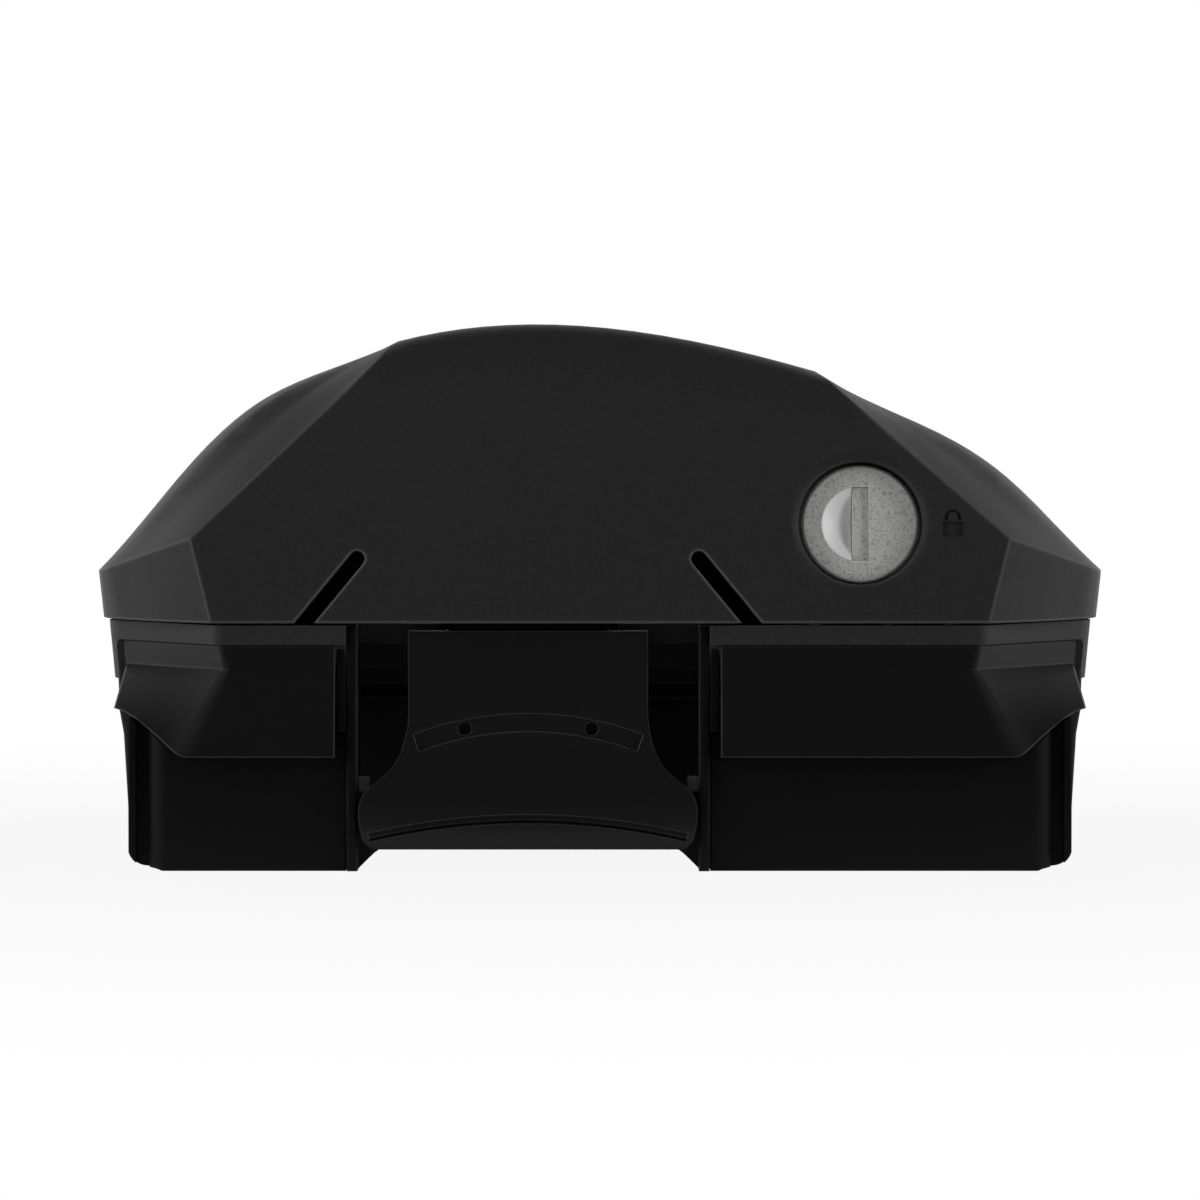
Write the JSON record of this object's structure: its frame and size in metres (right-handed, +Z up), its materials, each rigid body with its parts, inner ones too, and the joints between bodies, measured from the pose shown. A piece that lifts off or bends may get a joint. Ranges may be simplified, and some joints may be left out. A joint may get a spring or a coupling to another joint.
{
  "type": "roof bar foot",
  "caption": "Lockable roof bar foot with a hinged plastic cover over a rail saddle, a screw-driven clamp jaw between rubber shoes, and a rear socket for an aero bar.",
  "frame": {"origin": "middle of the foot's overall plan, on the ground plane under the rubber shoes", "axes": "+X along the rail to the lock side, +Y from the outer face towards the bar, +Z up"},
  "size_m": [0.1754, 0.0968, 0.0937],
  "materials": {
    "cover_plastic": "fine spark-eroded texture",
    "housing_plastic": "fine spark-eroded texture",
    "flap_plastic": "smooth satin",
    "shoe_rubber": "smooth",
    "pad_rubber": "matte",
    "jaw_plastic": "satin",
    "zinc_steel": "bright zinc plated",
    "spring_steel": "plain",
    "cast_alloy": "tumbled die casting",
    "lock_zinc": "satin zinc alloy",
    "lock_brass": "plain"
  },
  "bodies": {
    "foot": {"housing": "housing_plastic", "bar_collar": "housing_plastic", "left_flap": "flap_plastic", "right_flap": "flap_plastic", "left_shoe": "shoe_rubber", "right_shoe": "shoe_rubber", "rail_pad": "pad_rubber", "rear_hook_pad": "pad_rubber", "bar_seal": "pad_rubber", "load_bracket": "zinc_steel", "bracket_screws": "zinc_steel", "clamp_nut": "zinc_steel", "tee_washer": "zinc_steel", "hinge_pin": "spring_steel", "lock_keeper": "zinc_steel", "keeper_screw": "zinc_steel"},
    "cover": {"front_cover": "cover_plastic", "lock_barrel": "lock_zinc", "barrel_clip": "spring_steel"},
    "lock": {"lock_plug": "lock_zinc", "lock_wafers": "lock_brass", "lock_cam": "zinc_steel", "cam_screw": "zinc_steel"},
    "shutter": {"key_shutter": "spring_steel"},
    "jaw": {"clamp_jaw": "jaw_plastic", "jaw_plate": "zinc_steel", "jaw_pad": "pad_rubber", "jaw_screws": "zinc_steel", "jaw_spring": "spring_steel"},
    "screw": {"clamp_screw": "zinc_steel", "clamp_washer": "zinc_steel", "screw_ring": "spring_steel"},
    "tee": {"bar_tee": "cast_alloy"},
    "tee_screw": {"tee_screw": "zinc_steel"}
  },
  "joints": [
    {"name": "cover_hinge", "type": "hinge", "parent": "foot", "child": "cover", "pos_m": [-0.0123, 0.0447, 0.081], "axis": [-1, 0, 0], "range_deg": [0, 70]},
    {"name": "lock_turn", "type": "hinge", "parent": "cover", "child": "lock", "pos_m": [0.0445, -0.04549, 0.0598], "axis": [0, -0.9925, 0.1219], "range_deg": [0, 90]},
    {"name": "key_shutter_push", "type": "slide", "parent": "lock", "child": "shutter", "axis": [0, 0.9925, -0.1219], "range_m": [0, 0.004], "stiffness_N_per_m": 60, "springref_m": -0.002},
    {"name": "jaw_slide", "type": "slide", "parent": "foot", "child": "jaw", "axis": [0, 1, 0], "range_m": [-0.005, 0.004], "deforming": ["jaw_spring"]},
    {"name": "clamp_screw_turn", "type": "hinge", "parent": "jaw", "child": "screw", "pos_m": [-0.0123, -0.034, 0.051], "axis": [0, 1, 0], "range_deg": [-1440, 1152]},
    {"name": "tee_slide", "type": "slide", "parent": "foot", "child": "tee", "axis": [0, 0, 1], "range_m": [-0.002, 0]},
    {"name": "tee_screw_turn", "type": "hinge", "parent": "foot", "child": "tee_screw", "pos_m": [-0.0123, 0.0086, 0.034], "axis": [0, 0, 1], "range_deg": [0, 720]}
  ],
  "couplings": [
    {"joint": "clamp_screw_turn", "follows": "jaw_slide", "rad_per_m": 5026.5},
    {"joint": "tee_screw_turn", "follows": "tee_slide", "rad_per_m": -6283.2}
  ]
}
